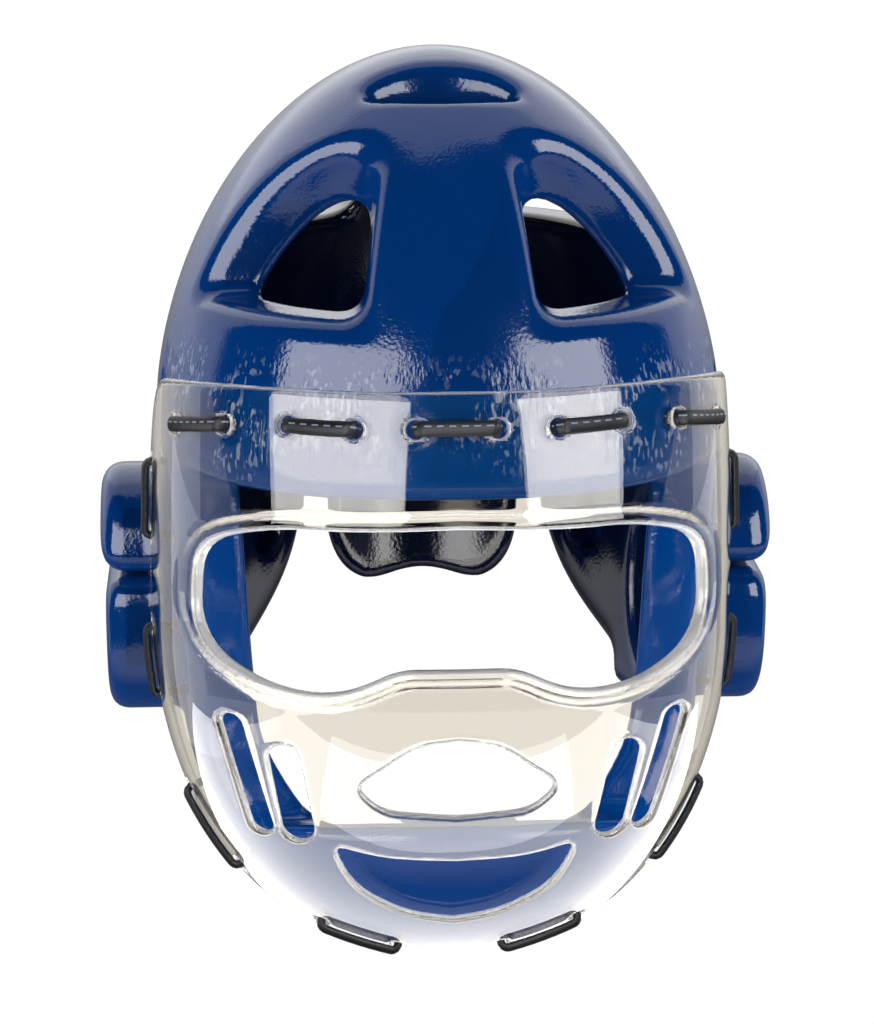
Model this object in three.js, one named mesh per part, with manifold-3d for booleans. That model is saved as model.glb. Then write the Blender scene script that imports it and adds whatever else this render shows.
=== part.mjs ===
// A foam head guard with a clear face mask laced to its front.
// Millimetres. The pieces are made in the head's own frame: X across, the face towards -Y, +Z to the crown,
// with the origin in the middle of the head at the level of the brow. The whole guard is then tipped back on its
// chin and its rear rim, as it rests on a table, and moved so that it stands on z = 0 around the origin.

import * as THREE from "three";
import { mergeVertices } from "three/addons/utils/BufferGeometryUtils.js";
import Module from "manifold-3d";

const wasm = await Module();
wasm.setup();

// Driving sizes of the foam shell
const shellHalfWidth = 101;
const shellFront = 116;
const shellRear = 122;
const crownHeight = 138;
const chinDrop = 177;
const sideWall = 19;
const frontWall = 23;
const crownWall = 23;
const crownRoundness = 1.92;
const frontSquareness = 2.5;
const rearSquareness = 2.1;

// How the guard rests, and how far its lower rim spreads where it meets the table
const restTilt = 26.5;
const restDrop = 118.5;
const jawFoot = 3;
const earFoot = 10;

// Vents
const frontVentInner = 21;
const frontVentSlant = 8;
const frontVentSill = 60;
const frontVentBack = 46;
const frontVentTop = 118;
const frontVentLean = 12;
const rearVentInner = 25;
const rearVentFront = 22;
const rearVentSill = 66;
const ventCorner = 16;
const crownVentHalfWidth = 26;
const crownVentHalfLength = 10;
const crownVentForward = 38;
const sideVentHalfLength = 18;
const sideVentHalfHeight = 10;
const sideVentBack = 22;
const sideVentHeight = 23;

// Rear flap
const flapHalfWidth = 36;
const flapGap = 11;
const flapGapTop = 5;
const flapDrop = 81;
const flapCorner = 26;
const flapNotch = 7;
const flapDepth = 81;

// Ear pads
const earReach = 119.8;
const earTop = 14;
const earBottom = 105;
const earFront = 20;
const earBack = 44;
const earGrooveDrop = 48;
const earGrooveWidth = 7;
const earGrooveDepth = 5;
const earCorner = 26;

// Face mask
const maskHalfWidth = 103.2;
const maskFront = 115;
const maskForward = 15;
const maskMiddleDrop = 58;
const maskUpperReach = 260;
const maskBrowReach = 165;
const maskLowerReach = 134;
const maskSquareness = 2.4;
const maskChinRoundness = 2;
const maskThickness = 3;
const eyeLip = 4.5;
const eyeLipDepth = 2.5;

// Laces and their holes
const laceRadius = 1.6;
const laceSides = 6;
const laceHoleRadius = 3.2;
const foamHoleRadius = 2.1;
const laceDepth = 12;
const laceTurn = 2.4;
const laceSlack = 0.15;
const clearance = 0.3;

// How finely the round forms are divided
const ringSides = 36;
const crownRings = 7;
const crownRingStart = 0.4;
const maskRingsAbove = [1.12, 0.84, 0.5];
const maskRingTurns = [0, 14, 26, 36, 45, 53, 61, 70, 80];
const degree = Math.PI / 180;

// Shares of the shell's sizes below the brow: drop is a share of chinDrop, the others of the equator's sizes
const shellSections = [
  { drop: 0.00, width: 0.985, front: 1.000, rear: 1.000 },
  { drop: 0.17, width: 0.970, front: 0.985, rear: 0.995 },
  { drop: 0.35, width: 0.956, front: 0.968, rear: 0.970 },
  { drop: 0.56, width: 0.930, front: 0.945, rear: 0.880 },
  { drop: 0.65, width: 0.895, front: 0.930, rear: 0.830 },
  { drop: 0.73, width: 0.840, front: 0.905, rear: 0.770 },
  { drop: 0.81, width: 0.762, front: 0.855, rear: 0.710 },
  { drop: 0.91, width: 0.625, front: 0.735, rear: 0.620 },
  { drop: 1.00, width: 0.480, front: 0.570, rear: 0.540 },
];

// The face opening in the side view, from brow to chin: forward is a share of shellFront, drop of chinDrop
const faceOutline = [
  { forward: 0.517, drop: -0.017, round: 10 },
  { forward: 0.517, drop: 0.525, round: 16 },
  { forward: 0.586, drop: 0.603, round: 12 },
  { forward: 0.629, drop: 0.660, round: 8 },
  { forward: 0.690, drop: 0.680, round: 8 },
  { forward: 0.759, drop: 0.661, round: 8 },
  { forward: 0.931, drop: 0.627, round: 10 },
];

// The arch of the lower rim between chin and ear in the side view, in the same shares
const jawOutline = [
  { forward: 0.507, drop: 0.847, round: 6 },
  { forward: 0.386, drop: 0.706, round: 10 },
  { forward: 0.259, drop: 0.610, round: 12 },
  { forward: -0.345, drop: 0.605, round: 6 },
];

// The lower edge of the side walls in the rear view, from the flap's gap to the ear: beyond is how far it lies
// past the gap, a share of shellHalfWidth, and drop is a share of chinDrop
const wallEdgeOutline = [
  { beyond: 0.347, drop: 0.627, round: 4 },
  { beyond: 0.267, drop: 0.571, round: 8 },
  { beyond: 0.158, drop: 0.480, round: 10 },
  { beyond: 0.030, drop: 0.429, round: 12 },
  { beyond: 0.000, drop: 0.311, round: 14 },
];

// The mask's edge in the side view, from brow to chin: forward is a share of maskFront, height a share of
// maskLowerReach counted from the mask's middle, back and up say which way the edge moves when it is grown
const maskEdgeOutline = [
  { forward: 0.870, height: 0.735, round: 20, back: 0, up: 1 },
  { forward: 0.522, height: 0.687, round: 20, back: 0, up: 1 },
  { forward: 0.235, height: 0.642, round: 26, back: 1, up: 1 },
  { forward: 0.235, height: -0.164, round: 20, back: 1, up: 0 },
  { forward: 0.304, height: -0.299, round: 10, back: 1, up: 0 },
  { forward: 0.391, height: -0.485, round: 14, back: 1, up: 0 },
  { forward: 0.522, height: -0.634, round: 10, back: 1, up: 0 },
  { forward: 0.635, height: -0.746, round: 10, back: 1, up: 0 },
  { forward: 0.696, height: -0.825, round: 4, back: 1, up: -1 },
];

// Half outlines of the mask's openings, mirrored left to right: across and height in shares of the mask's
// half width and of its lower reach, each height counted from the middle of the mask upwards
const eyeOutline = [
  { across: 0.000, height: 0.411, round: 0 },
  { across: 0.600, height: 0.396, round: 20 },
  { across: 0.830, height: 0.323, round: 22 },
  { across: 0.850, height: 0.059, round: 26 },
  { across: 0.590, height: -0.012, round: 12 },
  { across: 0.380, height: -0.012, round: 16 },
  { across: 0.190, height: 0.060, round: 6 },
  { across: 0.000, height: 0.060, round: 0 },
];
const mouthOutline = [
  { across: 0.000, height: -0.127, round: 0 },
  { across: 0.130, height: -0.139, round: 16 },
  { across: 0.330, height: -0.256, round: 5 },
  { across: 0.240, height: -0.320, round: 10 },
  { across: 0.000, height: -0.333, round: 0 },
];
const chinOutline = [
  { across: 0.000, height: -0.478, round: 0 },
  { across: 0.230, height: -0.470, round: 20 },
  { across: 0.400, height: -0.441, round: 5 },
  { across: 0.330, height: -0.570, round: 14 },
  { across: 0.150, height: -0.655, round: 14 },
  { across: 0.000, height: -0.677, round: 0 },
];
const cheekSlots = [
  { topAcross: 0.740, topHeight: -0.112, footAcross: 0.625, footHeight: -0.433, width: 7 },
  { topAcross: 0.567, topHeight: -0.164, footAcross: 0.510, footHeight: -0.433, width: 10.5 },
];

// The laces on one side, each from hole to hole: the angle from the front of the mask in degrees, and the height
// as a share of maskLowerReach counted from the mask's middle
const centreLace = { from: [-7.4, 0.649], to: [7.4, 0.649] };
const sideLaces = [
  { from: [18.5, 0.645], to: [31, 0.645] },
  { from: [44.5, 0.623], to: [60, 0.582] },
  { from: [79, 0.425], to: [79, 0.224] },
  { from: [79, -0.022], to: [78, -0.209] },
  { from: [67, -0.425], to: [54, -0.605] },
  { from: [34, -0.728], to: [15, -0.799] },
];

// Materials
const foamSkin = new THREE.MeshStandardMaterial({ color: "#01306c", roughness: 0.22, metalness: 0 });
const clearPlastic = new THREE.MeshStandardMaterial({ color: "#e9e8e2", roughness: 0.08, metalness: 0,
  transparent: true, opacity: 0.35 });
const laceCord = new THREE.MeshStandardMaterial({ color: "#0c0e14", roughness: 0.5, metalness: 0 });

function solidOf(geometry) {
  const bare = geometry.clone();
  bare.deleteAttribute("normal");
  bare.deleteAttribute("uv");
  const merged = mergeVertices(bare, 1e-4);
  return new wasm.Manifold(new wasm.Mesh({
    numProp: 3,
    vertProperties: new Float32Array(merged.attributes.position.array),
    triVerts: new Uint32Array(merged.index.array),
  }));
}

function geometryOf(solid) {
  const mesh = solid.getMesh();
  const geometry = new THREE.BufferGeometry();
  geometry.setAttribute("position", new THREE.BufferAttribute(new Float32Array(mesh.vertProperties), 3));
  geometry.setIndex(new THREE.BufferAttribute(new Uint32Array(mesh.triVerts), 1));
  geometry.computeVertexNormals();
  return geometry;
}

// A closed body through horizontal rings of superellipses, each with its own half width, front and rear.
function loft(rings) {
  const positions = [];
  const index = [];
  const power = (value, exponent) => Math.sign(value) * Math.abs(value) ** (2 / exponent);
  for (const ring of rings) {
    for (let side = 0; side < ringSides; side++) {
      const turn = (side / ringSides) * 2 * Math.PI;
      const squareness = Math.sin(turn) < 0 ? ring.frontSquareness : ring.rearSquareness;
      const depth = Math.sin(turn) < 0 ? ring.front : ring.rear;
      positions.push(ring.width * power(Math.cos(turn), squareness),
        ring.middle + depth * power(Math.sin(turn), squareness), ring.z);
    }
  }
  rings.slice(1).forEach((ring, row) => {
    for (let side = 0; side < ringSides; side++) {
      const next = (side + 1) % ringSides;
      const a = row * ringSides + side;
      const b = row * ringSides + next;
      const c = (row + 1) * ringSides + side;
      const d = (row + 1) * ringSides + next;
      index.push(a, d, b, a, c, d);
    }
  });
  for (const end of [0, rings.length - 1]) {
    const centre = positions.length / 3;
    positions.push(0, rings[end].middle, rings[end].z);
    for (let side = 0; side < ringSides; side++) {
      const a = end * ringSides + side;
      const b = end * ringSides + (side + 1) % ringSides;
      index.push(...(end === 0 ? [centre, a, b] : [centre, b, a]));
    }
  }
  const geometry = new THREE.BufferGeometry();
  geometry.setAttribute("position", new THREE.BufferAttribute(new Float32Array(positions), 3));
  geometry.setIndex(index);
  return solidOf(geometry);
}

// The foam's outer form, or its inner form when it is given walls to take off.
function foamForm(side, front, crown, extraDrop) {
  const rings = [];
  const ring = (z, width, forward, back) => ({ z, middle: 0, frontSquareness, rearSquareness,
    width: width * shellHalfWidth - side * width ** 0.5,
    front: forward * shellFront - front * forward ** 0.5,
    rear: back * shellRear - front * back ** 0.5 });
  for (let step = 0; step < crownRings; step++) {
    const turn = 90 * (1 - (step + crownRingStart) / (crownRings + crownRingStart)) * degree;
    const share = Math.cos(turn) ** (2 / crownRoundness);
    const z = (crownHeight - crown) * Math.sin(turn) ** (2 / crownRoundness);
    rings.push({ z, middle: 0, frontSquareness, rearSquareness,
      width: share * (shellHalfWidth - side), front: share * (shellFront - front),
      rear: share * (shellRear - front) });
  }
  for (const section of shellSections) {
    rings.push(ring(-section.drop * chinDrop, section.width, section.front, section.rear));
  }
  const last = rings[rings.length - 1];
  rings.push({ ...last, z: last.z - extraDrop });
  return loft(rings);
}

// How much of its full width and depth the mask keeps at a height above or below its middle.
function maskShares(rise, depth) {
  const share = (reach, roundness) => (1 - (Math.abs(rise) / (reach - depth)) ** roundness) ** (1 / roundness);
  if (rise > 0) {
    return { width: share(maskUpperReach, maskSquareness), front: share(maskBrowReach, maskSquareness) };
  }
  const chin = share(maskLowerReach, maskChinRoundness);
  return { width: chin, front: chin };
}

const maskHeight = (share) => share * maskLowerReach - maskMiddleDrop;

// The mask's outer form, or one that lies deeper by the given depth. It is cut off flat above its top edge.
function maskForm(depth) {
  const rings = [];
  const ring = (rise) => {
    const share = maskShares(rise, depth);
    return { z: rise - maskMiddleDrop, middle: -maskForward, frontSquareness: maskSquareness,
      rearSquareness: maskSquareness, width: share.width * (maskHalfWidth - depth),
      front: share.front * (maskFront - depth), rear: share.front * (maskFront - depth) };
  };
  for (const share of maskRingsAbove) {
    rings.push(ring(share * maskEdgeOutline[0].height * maskLowerReach));
  }
  for (const turn of maskRingTurns) {
    rings.push(ring((depth - maskLowerReach) * Math.sin(turn * degree)));
  }
  return loft(rings);
}

// A flat outline with rounded corners, from rows of across, up and corner radius.
function outline(corners) {
  const shape = new THREE.Shape();
  const count = corners.length;
  corners.forEach(([across, up, radius], place) => {
    const here = new THREE.Vector2(across, up);
    const before = new THREE.Vector2(...corners[(place + count - 1) % count]).sub(here);
    const after = new THREE.Vector2(...corners[(place + 1) % count]).sub(here);
    const limit = Math.min(radius, before.length() * 0.49, after.length() * 0.49);
    const start = here.clone().add(before.setLength(limit));
    const end = here.clone().add(after.setLength(limit));
    if (place === 0) shape.moveTo(start.x, start.y);
    else shape.lineTo(start.x, start.y);
    if (limit > 0) shape.quadraticCurveTo(here.x, here.y, end.x, end.y);
  });
  return shape;
}

// An outline in the side view (y, z) carried along X from one place to another.
function sidePrism(corners, from, to) {
  const geometry = new THREE.ExtrudeGeometry(outline(corners),
    { depth: to - from, bevelEnabled: false, curveSegments: 3 });
  geometry.translate(0, 0, from);
  geometry.applyMatrix4(new THREE.Matrix4().set(0, 0, 1, 0, 1, 0, 0, 0, 0, 1, 0, 0, 0, 0, 0, 1));
  return solidOf(geometry);
}

// An outline in the front view (x, z) carried along Y from one place to another.
function frontPrism(corners, from, to) {
  const geometry = new THREE.ExtrudeGeometry(outline(corners),
    { depth: to - from, bevelEnabled: false, curveSegments: 3 });
  geometry.rotateX(Math.PI / 2);
  geometry.translate(0, to, 0);
  return solidOf(geometry);
}

// A straight round bar between two points, or an oval one when it is given a stretch.
function bar(start, end, radius, sides, stretch = [1, 1]) {
  const length = start.distanceTo(end);
  const geometry = new THREE.CylinderGeometry(radius, radius, length, sides);
  geometry.scale(stretch[0], 1, stretch[1]);
  const turn = new THREE.Quaternion().setFromUnitVectors(new THREE.Vector3(0, 1, 0),
    end.clone().sub(start).normalize());
  geometry.applyQuaternion(turn);
  geometry.translate(...start.clone().add(end).multiplyScalar(0.5).toArray());
  return solidOf(geometry);
}

const restPlane = (y) => (-restDrop + Math.sin(restTilt * degree) * y) / Math.cos(restTilt * degree);
const mirrored = (corners) => corners.map(([across, up, radius]) => [-across, up, radius]).reverse();
const reach = 2 * (shellHalfWidth + shellRear);

const shellCorners = (rows) => rows.map((row) => [-row.forward * shellFront, -row.drop * chinDrop, row.round]);

function faceOpening() {
  const corners = shellCorners(faceOutline);
  const brow = corners[0];
  const chin = corners[corners.length - 1];
  return sidePrism([[-reach, brow[1], 0], ...corners, [-reach, chin[1], 0]], -reach, reach);
}

// Everything below the guard's lower rim, in the side view: the chin rests, the jaw rises, the rear rests.
function belowTheRim() {
  const arch = shellCorners(jawOutline);
  const jaw = arch[0][0] - jawFoot;
  const ear = arch[arch.length - 1][0] + earFoot;
  const rim = [[-reach, restPlane(-reach), 0], [jaw, restPlane(jaw), 4], ...arch, [ear, restPlane(ear), 6],
    [reach, restPlane(reach), 0]];
  return sidePrism([...rim, [reach, -reach, 0], [-reach, -reach, 0]], -reach, reach);
}

// A front vent is bounded by its sill, the forehead band and the crown band, whose edge leans forward at the top.
function frontVent(side) {
  const corners = [[frontVentInner + frontVentSlant, frontVentSill, 4], [reach, frontVentSill, 0],
    [reach, frontVentTop, 0], [frontVentInner, frontVentTop, ventCorner]];
  const lean = [[-reach, frontVentSill - 1, 0], [-frontVentBack + 2, frontVentSill - 1, 0],
    [-frontVentBack, 0.7 * crownHeight, 30], [-frontVentBack - frontVentLean, frontVentTop + 1, 0],
    [-reach, frontVentTop + 1, 0]];
  return frontPrism(side > 0 ? corners : mirrored(corners), -reach, 0).intersect(sidePrism(lean, -reach, reach));
}

function rearVent(side) {
  const corners = [[rearVentInner, rearVentSill, ventCorner], [reach, rearVentSill, 0],
    [reach, crownHeight + 10, 0], [rearVentInner, crownHeight + 10, 0]];
  return frontPrism(side > 0 ? corners : mirrored(corners), rearVentFront, reach);
}

function crownVent() {
  const middle = new THREE.Vector3(0, -crownVentForward, crownHeight);
  return bar(middle.clone().setZ(0), middle.clone().setZ(reach), crownVentHalfLength, 20,
    [crownVentHalfWidth / crownVentHalfLength, 1]);
}

function sideVent(side) {
  const start = new THREE.Vector3(side * shellHalfWidth / 2, sideVentBack, sideVentHeight);
  const end = start.clone().setX(side * reach);
  return bar(start, end, sideVentHalfHeight, 16, [1, sideVentHalfLength / sideVentHalfHeight]);
}

// What is open around the rear flap: a gap on each side and everything below the flap's two lobes, with the
// lower edge of the side walls falling away from the gap towards the ears.
function flapGaps() {
  const wallEdge = flapHalfWidth + flapGap;
  const wall = wallEdgeOutline.map((row) => [wallEdge + row.beyond * shellHalfWidth, -row.drop * chinDrop, row.round]);
  const right = [[0, -reach, 0], [wall[0][0], -reach, 0], ...wall,
    [wallEdge, flapGapTop, flapGap / 2], [flapHalfWidth, flapGapTop, flapGap / 2],
    [flapHalfWidth, -flapDrop, flapCorner], [flapHalfWidth / 4, -flapDrop, 5], [0, -flapDrop + flapNotch, 0]];
  const left = mirrored(right);
  return frontPrism([...right, ...left.slice(1, -1)], shellRear - flapDepth, reach);
}

function foamShell(outer) {
  const inner = foamForm(sideWall, frontWall, crownWall, 40);
  let shell = outer.subtract(inner).subtract(faceOpening()).subtract(belowTheRim()).subtract(crownVent());
  for (const side of [-1, 1]) {
    shell = shell.subtract(frontVent(side)).subtract(rearVent(side)).subtract(sideVent(side));
  }
  return shell.subtract(flapGaps());
}

// One ear pad: two lobes with a groove between them, seated on the shell's side with the clearance.
function earPad(side, outer) {
  const seat = shellHalfWidth - sideWall / 2;
  const body = [[-earFront, -earTop, earCorner], [-earFront, -earBottom, earCorner],
    [earBack, -earBottom, earCorner], [earBack, -earTop, earCorner]];
  const lobes = side > 0 ? sidePrism(body, seat, earReach) : sidePrism(body, -earReach, -seat);
  const grooveFloor = earReach - earGrooveDepth;
  const half = earGrooveWidth / 2;
  const across = [[grooveFloor, -earGrooveDrop, 1], [earReach + 1, -earGrooveDrop - half, 0],
    [earReach + 1, -earGrooveDrop + half, 0]];
  const groove = frontPrism(side > 0 ? across : mirrored(across), -reach, reach);
  return lobes.subtract(groove).subtract(outer);
}

// The point of the mask's outer form at an angle from its front and at a height.
function maskPoint(angle, z) {
  const forward = Math.cos(angle * degree);
  const across = Math.sin(angle * degree);
  const share = maskShares(z + maskMiddleDrop, 0);
  const radius = (Math.abs(across / (share.width * maskHalfWidth)) ** maskSquareness
    + Math.abs(forward / (share.front * maskFront)) ** maskSquareness) ** (-1 / maskSquareness);
  return new THREE.Vector3(radius * across, -maskForward - radius * forward, z);
}

// The same point with the way out of the mask there, across two short steps along its surface.
function onMask(angle, z) {
  const point = maskPoint(angle, z);
  const round = maskPoint(angle + 0.5, z).sub(maskPoint(angle - 0.5, z));
  const upward = maskPoint(angle, z + 0.5).sub(maskPoint(angle, z - 0.5));
  return { point, normal: round.cross(upward).normalize() };
}

const maskCorners = (rows) => {
  const half = rows.map((row) => [row.across * maskHalfWidth, maskHeight(row.height), row.round]);
  const other = half.filter(([across]) => across > 0).map(([across, up, radius]) => [-across, up, radius]).reverse();
  return [half[0], ...half.slice(1, -1), half[half.length - 1], ...other];
};

function cheekSlot(row, side) {
  const top = new THREE.Vector2(side * row.topAcross * maskHalfWidth, maskHeight(row.topHeight));
  const foot = new THREE.Vector2(side * row.footAcross * maskHalfWidth, maskHeight(row.footHeight));
  const along = top.clone().sub(foot).normalize();
  const out = new THREE.Vector2(along.y, -along.x).multiplyScalar(row.width / 2);
  const corners = [foot.clone().sub(out), foot.clone().add(out), top.clone().add(out), top.clone().sub(out)];
  return frontPrism(corners.map((corner) => [corner.x, corner.y, row.width / 2]), -reach, 0);
}

// The mask's edge in the side view, grown by the spare room.
function maskEdge(spare) {
  const corners = maskEdgeOutline.map((row) => [-row.forward * maskFront + row.back * spare,
    maskHeight(row.height) + row.up * spare, row.round]);
  const chin = corners[corners.length - 1];
  return [[-reach, corners[0][1], 0], ...corners, [-reach, chin[1], 0]];
}

// The room that the mask takes in the foam where its edge presses in.
const maskRoom = () => maskForm(-clearance).subtract(maskForm(maskThickness + clearance))
  .intersect(sidePrism(maskEdge(clearance), -reach, reach));

// The eye opening grown by its lip on every side.
function lipCorners(eye) {
  const heights = eye.map(([, up]) => up);
  const middle = (Math.max(...heights) + Math.min(...heights)) / 2;
  return eye.map(([across, up, radius]) => [across + eyeLip * Math.sign(across) * Math.min(1, 1.2 * Math.abs(across)
    / maskHalfWidth), up + eyeLip * Math.sign(up - middle), radius + eyeLip]);
}

function faceMask(outer, laces) {
  const eye = maskCorners(eyeOutline);
  const lip = outer.subtract(maskForm(maskThickness + eyeLipDepth)).intersect(frontPrism(lipCorners(eye), -reach, 0));
  let mask = outer.subtract(maskForm(maskThickness)).intersect(sidePrism(maskEdge(0), -reach, reach)).add(lip);
  mask = mask.subtract(frontPrism(eye, -reach, 0));
  mask = mask.subtract(frontPrism(maskCorners(mouthOutline), -reach, 0));
  mask = mask.subtract(frontPrism(maskCorners(chinOutline), -reach, 0));
  for (const row of cheekSlots) {
    for (const side of [-1, 1]) mask = mask.subtract(cheekSlot(row, side));
  }
  for (const hole of laces.flatMap(laceEnds)) {
    const start = hole.point.clone().addScaledVector(hole.normal, -3 * maskThickness);
    const end = hole.point.clone().addScaledVector(hole.normal, maskThickness);
    mask = mask.subtract(bar(start, end, laceHoleRadius, 8));
  }
  return mask;
}

const laceEnds = (lace) => [lace.from, lace.to].map(([angle, height]) => onMask(angle, maskHeight(height)));

// A lace comes out of one hole, lies along the mask and goes into the next.
function laceCurve(lace) {
  const lift = laceRadius + clearance;
  const points = [];
  const [start, end] = laceEnds(lace);
  const place = (share, over) => {
    const angle = lace.from[0] + (lace.to[0] - lace.from[0]) * share;
    const height = lace.from[1] + (lace.to[1] - lace.from[1]) * share;
    const spot = onMask(angle, maskHeight(height));
    return spot.point.clone().addScaledVector(spot.normal, over);
  };
  const turnIn = laceTurn / start.point.distanceTo(end.point);
  points.push(start.point.clone().addScaledVector(start.normal, -laceDepth));
  points.push(start.point.clone().addScaledVector(start.normal, -laceDepth / 2));
  points.push(start.point.clone().addScaledVector(start.normal, -0.2));
  points.push(place(0.3 * turnIn, 0.75 * lift));
  for (const share of [turnIn, 0.25, 0.5, 0.75, 1 - turnIn]) points.push(place(share, lift + laceSlack));
  points.push(place(1 - 0.3 * turnIn, 0.75 * lift));
  points.push(end.point.clone().addScaledVector(end.normal, -0.2));
  points.push(end.point.clone().addScaledVector(end.normal, -laceDepth / 2));
  points.push(end.point.clone().addScaledVector(end.normal, -laceDepth));
  return new THREE.CatmullRomCurve3(points, false, "centripetal");
}

function laceGeometry(lace) {
  const section = new THREE.Shape();
  section.absarc(0, 0, laceRadius, 0, 2 * Math.PI, false);
  return new THREE.ExtrudeGeometry(section, { extrudePath: laceCurve(lace), steps: 12,
    curveSegments: laceSides / 2, bevelEnabled: false });
}

const laces = [centreLace];
for (const { from, to } of sideLaces) {
  laces.push({ from: [-from[0], from[1]], to: [-to[0], to[1]] });
  laces.push({ from, to });
}

function named(name, geometry, material) {
  const mesh = new THREE.Mesh(geometry, material);
  mesh.name = name;
  return mesh;
}

const foamOuter = foamForm(0, 0, 0, 4);
const foamSeat = foamForm(-clearance, -clearance, -clearance, 4);
const maskOuter = maskForm(0);

let shell = foamShell(foamOuter).subtract(maskRoom());
for (const hole of laces.flatMap(laceEnds)) {
  const bottom = hole.point.clone().addScaledVector(hole.normal, -laceDepth - 2 * clearance);
  shell = shell.subtract(bar(bottom, hole.point, foamHoleRadius, 8));
}

const guard = new THREE.Group();
guard.add(named("foam_shell", geometryOf(shell), foamSkin));
guard.add(named("ear_pad_left", geometryOf(earPad(-1, foamSeat)), foamSkin));
guard.add(named("ear_pad_right", geometryOf(earPad(1, foamSeat)), foamSkin));
guard.add(named("face_mask", geometryOf(faceMask(maskOuter, laces)), clearPlastic));
laces.forEach((lace, place) => {
  guard.add(named(`lace_${String(place + 1).padStart(2, "0")}`, laceGeometry(lace), laceCord));
});

guard.rotation.x = -restTilt * degree;
guard.updateMatrixWorld(true);
const bounds = new THREE.Box3().setFromObject(guard, true);
const middle = bounds.getCenter(new THREE.Vector3());
guard.position.set(-middle.x, -middle.y, -bounds.min.z);
guard.updateMatrixWorld(true);

const headGuard = new THREE.Group();
headGuard.add(guard);

export default headGuard;
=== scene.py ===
# %% [markdown]
# # A foam head guard with a clear face mask
#
# The real guard is a shell of moulded foam, dipped whole in blue vinyl, with a clear plastic mask tied to its
# front by short stretches of black lace. This lesson first sets up the camera and the light, and then builds
# the foam, the mask and the laces, each with its own material.

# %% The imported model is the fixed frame
import math

import bpy
import numpy as np
from mathutils import Matrix


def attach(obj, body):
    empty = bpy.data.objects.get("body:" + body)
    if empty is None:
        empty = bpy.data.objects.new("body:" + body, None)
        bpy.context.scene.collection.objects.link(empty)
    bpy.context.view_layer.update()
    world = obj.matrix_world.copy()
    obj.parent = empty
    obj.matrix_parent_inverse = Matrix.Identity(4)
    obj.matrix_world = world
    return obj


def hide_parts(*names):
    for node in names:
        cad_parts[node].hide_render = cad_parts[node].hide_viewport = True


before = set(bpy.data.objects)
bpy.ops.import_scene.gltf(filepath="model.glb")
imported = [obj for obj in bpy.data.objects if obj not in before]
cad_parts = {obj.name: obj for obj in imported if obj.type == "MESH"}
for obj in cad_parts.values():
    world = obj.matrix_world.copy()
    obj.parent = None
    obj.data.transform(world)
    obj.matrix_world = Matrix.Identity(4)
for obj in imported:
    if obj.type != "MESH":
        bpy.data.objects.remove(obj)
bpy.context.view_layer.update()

# %% [markdown]
# ## Two frames
#
# A head guard is symmetrical about the wearer, so its shapes are easiest to write upright, as it is worn: X
# across, the face towards -Y, +Z to the crown, in millimetres. On a table it tips back until its chin and its
# rear rim touch. One small function turns and moves each finished piece from the wearer's frame to the table.

# %% From the wearer's frame to the table
MM = 0.001
REST_TILT = math.radians(26.5)
REST_DROP = 118.5
REST_SLIDE = 17.93

TURN = np.array([[1, 0, 0],
                 [0, math.cos(REST_TILT), math.sin(REST_TILT)],
                 [0, -math.sin(REST_TILT), math.cos(REST_TILT)]])


def to_table(points):
    """Tip back about X by the rest tilt, then slide and lift; millimetres become metres."""
    return (points @ TURN.T + np.array([0, REST_SLIDE, REST_DROP])) * MM


def direction(side, rise):
    """The way out at an angle from the face and at a height angle, turned to the table."""
    level = math.cos(rise)
    return TURN @ np.array([math.sin(side) * level, -math.cos(side) * level, math.sin(rise)])


def height_over_table(y, z):
    """How high a point of the wearer's frame lies over the table, in millimetres."""
    return REST_DROP - math.sin(REST_TILT) * y + math.cos(REST_TILT) * z


# %% [markdown]
# ## Camera
#
# The photograph looks at the guard almost from straight ahead and 15 degrees from above the wearer's own
# level. A long lens from 1.2 m flattens it as a product photograph does. Product photographs are also graded
# so that the ground is pure white, which the plain Standard view transform keeps.

# %% Camera at the photograph's angle
VIEW_SIDE = math.radians(-3.4)
VIEW_RISE = math.radians(15)
VIEW_DISTANCE = 1200
VIEW_DROP = 29.5
VIEW_ASIDE = 0.5
LENS = 117.1
SENSOR = 36

right = np.array([math.cos(VIEW_SIDE), math.sin(VIEW_SIDE), 0])
view_level = math.cos(VIEW_RISE)
back = np.array([math.sin(VIEW_SIDE) * view_level, -math.cos(VIEW_SIDE) * view_level, math.sin(VIEW_RISE)])
up = np.cross(back, right)
eye = VIEW_DISTANCE * back - VIEW_DROP * up + VIEW_ASIDE * right

camera_data = bpy.data.cameras.new("camera")
camera_data.lens = LENS
camera_data.sensor_width = SENSOR
camera = bpy.data.objects.new("camera", camera_data)
bpy.context.scene.collection.objects.link(camera)
axes = np.stack([right, up, back], axis=1)
pose = np.eye(4)
pose[:3, :3] = TURN @ axes
pose[:3, 3] = to_table(eye)
camera.matrix_world = Matrix(pose.tolist())
bpy.context.scene.camera = camera
bpy.context.scene.view_settings.view_transform = "Standard"
print("camera at", pose[:3, 3].round(3))

# %% [markdown]
# ## Materials
#
# A colour is written as the sRGB hex value that a colour picker shows, and one function turns it to the
# linear numbers that the renderer works with. One more function adds a node with its settings and links.


# %% Helpers for materials
def hex_colour(text):
    """sRGB hex to linear light: each channel below the knee is divided, above it raised to 2.4."""
    channels = np.array([int(text[place:place + 2], 16) for place in (1, 3, 5)]) / 255
    linear = np.where(channels <= 0.04045, channels / 12.92, ((channels + 0.055) / 1.055) ** 2.4)
    return (*linear.tolist(), 1.0)


def add_node(tree, kind, settings=None, inputs=None):
    """Add a node; settings are its properties, and an input takes a value or another node's output."""
    node = tree.nodes.new(kind)
    for name, value in (settings or {}).items():
        setattr(node, name, value)
    for name, value in (inputs or {}).items():
        if isinstance(value, bpy.types.NodeSocket):
            tree.links.new(value, node.inputs[name])
        else:
            node.inputs[name].default_value = value
    return node


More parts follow.
